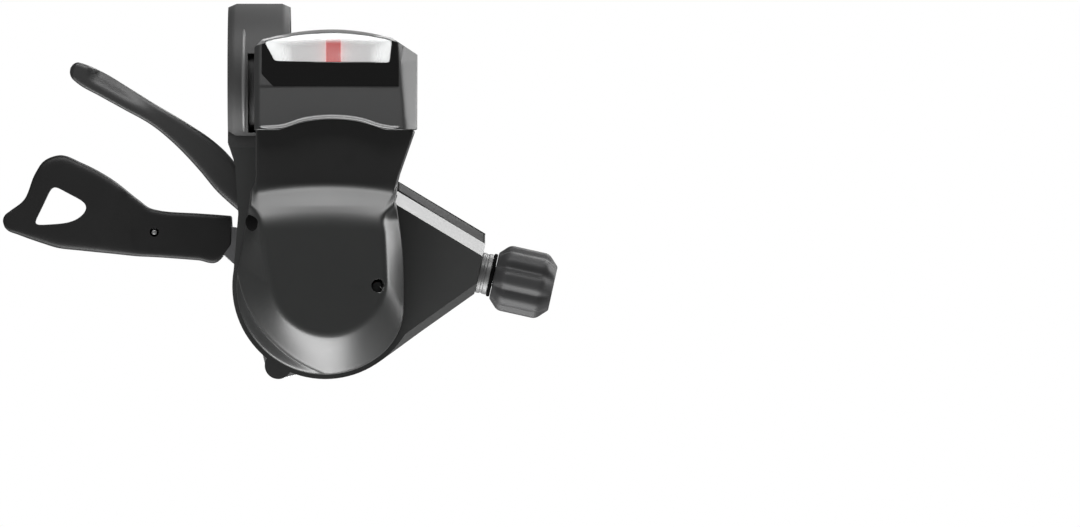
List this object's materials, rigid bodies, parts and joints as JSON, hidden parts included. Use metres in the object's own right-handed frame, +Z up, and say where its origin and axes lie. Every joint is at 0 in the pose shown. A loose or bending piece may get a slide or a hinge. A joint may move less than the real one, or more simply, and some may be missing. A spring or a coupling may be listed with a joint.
{
  "type": "trigger gear shifter",
  "caption": "Flat-bar trigger gear shifter with a bar clamp, domed cover, gear display, thumb lever, release lever and barrel cable adjuster.",
  "frame": {"origin": "centre of the handlebar clamp bore", "axes": "+X along the handlebar towards the cable adjuster, +Z up in the front view, +Y away from the viewer, so the domed cover faces -Y"},
  "size_m": [0.1079, 0.0522, 0.0723],
  "materials": {
    "bracket_paint": "dark grey powder coat on die-cast metal",
    "cover_shell": "satin charcoal moulding",
    "lens": "clear moulded window",
    "dial": "silver white scale plate",
    "needle": "soft red pointer",
    "steel": "zinc plated steel",
    "dark_steel": "black steel",
    "spring_steel": "spring steel",
    "inner_plastic": "moulded bearing plastic",
    "lever_steel": "pressed steel arm",
    "lever_plastic": "black moulding",
    "rear_shell": "black moulded cap",
    "plug_rubber": "black rubber plug",
    "collar": "grey turned collar",
    "knob": "dark grey fluted moulding"
  },
  "bodies": {
    "bracket": {"base_bracket": "bracket_paint", "clamp_bolt": "steel", "clamp_nut": "steel", "main_cover": "cover_shell", "cover_screw": "dark_steel", "indicator_housing": "cover_shell", "indicator_screw": "steel", "indicator_lens": "lens", "indicator_dial": "dial", "main_shaft": "steel", "main_spring": "spring_steel", "spool_spacer": "inner_plastic", "back_plate": "steel", "holding_pawl_pin": "steel", "release_lever_spring": "spring_steel", "lever_spacer": "inner_plastic", "main_lever_spring": "spring_steel", "shaft_washer": "steel", "shaft_nut": "steel", "rear_cover": "rear_shell", "rear_cover_screws": "dark_steel", "cable_plug": "plug_rubber", "adjuster_bush": "collar"},
    "main_lever": {"main_lever_arm": "lever_steel", "main_lever_paddle": "lever_plastic", "paddle_rivet": "steel", "feed_pawl_pin": "steel"},
    "release_lever": {"release_lever_arm": "lever_steel", "release_lever_blade": "lever_plastic"},
    "feed_pawl": {"feed_pawl": "steel"},
    "holding_pawl": {"holding_pawl": "steel"},
    "spool": {"cable_spool": "inner_plastic", "ratchet_plate": "steel", "indicator_drive_arm": "inner_plastic"},
    "needle": {"indicator_needle": "needle"},
    "adjuster_bolt": {"adjuster_bolt": "steel"},
    "adjuster_knob": {"adjuster_knob": "knob"}
  },
  "joints": [
    {"name": "main_lever_swing", "type": "hinge", "parent": "bracket", "child": "main_lever", "pos_m": [0.0128, 0.0072, -0.039], "axis": [0, 1, 0], "range_deg": [0, 28], "stiffness_Nm_per_rad": 0.1, "springref_deg": -17.19, "deforming": ["main_lever_spring"]},
    {"name": "feed_pawl_rock", "type": "hinge", "parent": "main_lever", "child": "feed_pawl", "pos_m": [0.0054, 0.0072, -0.04957], "axis": [0, 1, 0], "range_deg": [-10, 0], "stiffness_Nm_per_rad": 0.005, "springref_deg": 17.19},
    {"name": "release_lever_swing", "type": "hinge", "parent": "bracket", "child": "release_lever", "pos_m": [0.0128, 0.0072, -0.039], "axis": [0, 1, 0], "range_deg": [-15, 0], "stiffness_Nm_per_rad": 0.06, "springref_deg": 17.19, "deforming": ["release_lever_spring"]},
    {"name": "holding_pawl_rock", "type": "hinge", "parent": "bracket", "child": "holding_pawl", "pos_m": [0.01925, 0.0072, -0.05017], "axis": [0, 1, 0], "range_deg": [-8, 0]},
    {"name": "spool_turn", "type": "hinge", "parent": "bracket", "child": "spool", "pos_m": [0.0128, 0.0072, -0.039], "axis": [0, 1, 0], "range_deg": [-20, 20], "deforming": ["main_spring"]},
    {"name": "needle_swing", "type": "hinge", "parent": "bracket", "child": "needle", "pos_m": [0.0128, -0.0162, -0.016], "axis": [0, 1, 0], "range_deg": [-18.5, 18.5]},
    {"name": "adjuster_advance", "type": "slide", "parent": "bracket", "child": "adjuster_bolt", "axis": [0.9763, 0, -0.2164], "range_m": [0, 0.0016]},
    {"name": "adjuster_turn", "type": "hinge", "parent": "adjuster_bolt", "child": "adjuster_knob", "pos_m": [0.05154, 0.003, -0.03981], "axis": [0.9763, 0, -0.2164], "range_deg": [0, 720]}
  ],
  "couplings": [
    {"joint": "holding_pawl_rock", "follows": "release_lever_swing", "ratio": 0.53333},
    {"joint": "needle_swing", "follows": "spool_turn", "ratio": -0.915},
    {"joint": "adjuster_turn", "follows": "adjuster_advance", "rad_per_m": 7853.9}
  ]
}
